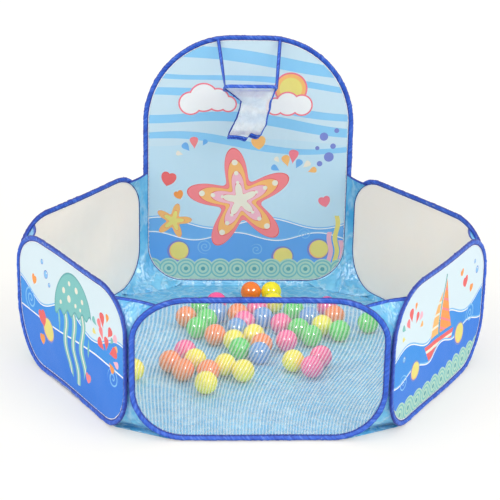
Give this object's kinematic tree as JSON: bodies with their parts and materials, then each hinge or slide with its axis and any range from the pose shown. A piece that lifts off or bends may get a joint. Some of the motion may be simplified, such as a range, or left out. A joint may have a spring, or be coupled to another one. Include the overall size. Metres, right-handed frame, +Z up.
{
  "type": "ball pit",
  "caption": "Hexagonal pop-up ball pit of wire-hoop cloth walls on a cloth floor, with a see-through front, a tall backboard with basketball hoop and net, and loose play balls",
  "frame": {"origin": "on the ground at the middle of the hexagon", "axes": "+Z up; the see-through front wall faces -Y and the backboard stands at +Y; X runs across the widest corners"},
  "size_m": [1.2116, 1.0572, 0.742],
  "materials": {
    "binding_cloth": "woven tape, satin",
    "spring_steel": "blued spring wire",
    "printed_cloth": "printed polyester, matt",
    "plain_cloth": "unprinted reverse side, off-white",
    "blue_mesh": "fine see-through mesh",
    "sheer_nylon": "thin coated nylon, slight shine",
    "floor_nylon": "thin coated nylon",
    "white_net": "fine white net",
    "ball_orange": "semi-gloss",
    "ball_green": "semi-gloss",
    "ball_pink": "semi-gloss",
    "ball_blue": "semi-gloss",
    "ball_yellow": "semi-gloss"
  },
  "bodies": {
    "board": {"binding_board": "binding_cloth", "wire_board": "spring_steel", "panel_board": "printed_cloth", "floor": "floor_nylon", "gusset_back_left": "sheer_nylon", "gusset_back_right": "sheer_nylon", "hoop_tape": "binding_cloth", "strap_left": "binding_cloth", "strap_right": "binding_cloth"},
    "back_right": {"binding_back_right": "binding_cloth", "wire_back_right": "spring_steel", "panel_back_right": "plain_cloth", "gusset_right": "sheer_nylon"},
    "front_right": {"binding_front_right": "binding_cloth", "wire_front_right": "spring_steel", "panel_front_right": "printed_cloth", "gusset_front_right": "sheer_nylon"},
    "front": {"binding_front": "binding_cloth", "wire_front": "spring_steel", "panel_front": "blue_mesh"},
    "corner_front_left": {"gusset_front_left": "sheer_nylon"},
    "back_left": {"binding_back_left": "binding_cloth", "wire_back_left": "spring_steel", "panel_back_left": "plain_cloth", "gusset_left": "sheer_nylon"},
    "front_left": {"binding_front_left": "binding_cloth", "wire_front_left": "spring_steel", "panel_front_left": "printed_cloth"},
    "hoop": {"hoop_binding": "binding_cloth", "hoop_wire": "spring_steel", "net": "white_net", "net_hem": "binding_cloth"},
    "balls": {"ball_01": "ball_orange", "ball_02": "ball_green", "ball_03": "ball_green", "ball_04": "ball_pink", "ball_05": "ball_orange", "ball_06": "ball_orange", "ball_07": "ball_blue", "ball_08": "ball_yellow", "ball_09": "ball_pink", "ball_10": "ball_blue", "ball_11": "ball_orange", "ball_12": "ball_yellow", "ball_13": "ball_pink", "ball_14": "ball_pink", "ball_15": "ball_green", "ball_16": "ball_blue", "ball_17": "ball_green", "ball_18": "ball_pink", "ball_19": "ball_orange", "ball_20": "ball_green", "ball_21": "ball_green", "ball_22": "ball_yellow", "ball_23": "ball_pink", "ball_24": "ball_pink", "ball_25": "ball_orange", "ball_26": "ball_orange", "ball_27": "ball_yellow", "ball_28": "ball_yellow"}
  },
  "joints": [
    {"name": "wall_fold", "type": "hinge", "parent": "board", "child": "back_right", "pos_m": [0.3, 0.51962, 0.18], "axis": [0, 0, 1], "range_deg": [0, 52], "deforming": ["gusset_back_right", "floor"]},
    {"name": "seam_right", "type": "hinge", "parent": "back_right", "child": "front_right", "pos_m": [0.6, 0, 0.18], "axis": [0, 0, 1], "range_deg": [-104, 0], "deforming": ["gusset_right"]},
    {"name": "seam_front_right", "type": "hinge", "parent": "front_right", "child": "front", "pos_m": [0.3, -0.51962, 0.18], "axis": [0, 0, 1], "range_deg": [0, 52], "deforming": ["gusset_front_right"]},
    {"name": "seam_front_left", "type": "hinge", "parent": "front", "child": "corner_front_left", "pos_m": [-0.3, -0.51962, 0.18], "axis": [0, 0, 1], "range_deg": [0, 52], "deforming": ["gusset_front_left"]},
    {"name": "seam_back_left", "type": "hinge", "parent": "board", "child": "back_left", "pos_m": [-0.3, 0.51962, 0.18], "axis": [0, 0, 1], "range_deg": [-52, 0], "deforming": ["gusset_back_left"]},
    {"name": "seam_left", "type": "hinge", "parent": "back_left", "child": "front_left", "pos_m": [-0.6, 0, 0.18], "axis": [0, 0, 1], "range_deg": [0, 104], "deforming": ["gusset_left"]},
    {"name": "balls_lift", "type": "slide", "parent": "board", "child": "balls", "axis": [0, 0, 1], "range_m": [0, 0.9534]},
    {"name": "hoop_fold", "type": "hinge", "parent": "board", "child": "hoop", "pos_m": [0, 0.52002, 0.583], "axis": [-1, 0, 0], "range_deg": [0, 55], "deforming": ["net", "net_hem", "strap_left", "strap_right"]}
  ],
  "couplings": [
    {"joint": "seam_right", "follows": "wall_fold", "ratio": -2},
    {"joint": "seam_front_right", "follows": "wall_fold", "ratio": 1},
    {"joint": "seam_front_left", "follows": "wall_fold", "ratio": 1},
    {"joint": "seam_back_left", "follows": "wall_fold", "ratio": -1},
    {"joint": "seam_left", "follows": "wall_fold", "ratio": 2},
    {"joint": "balls_lift", "follows": "wall_fold", "m_per_rad": 1.05}
  ]
}
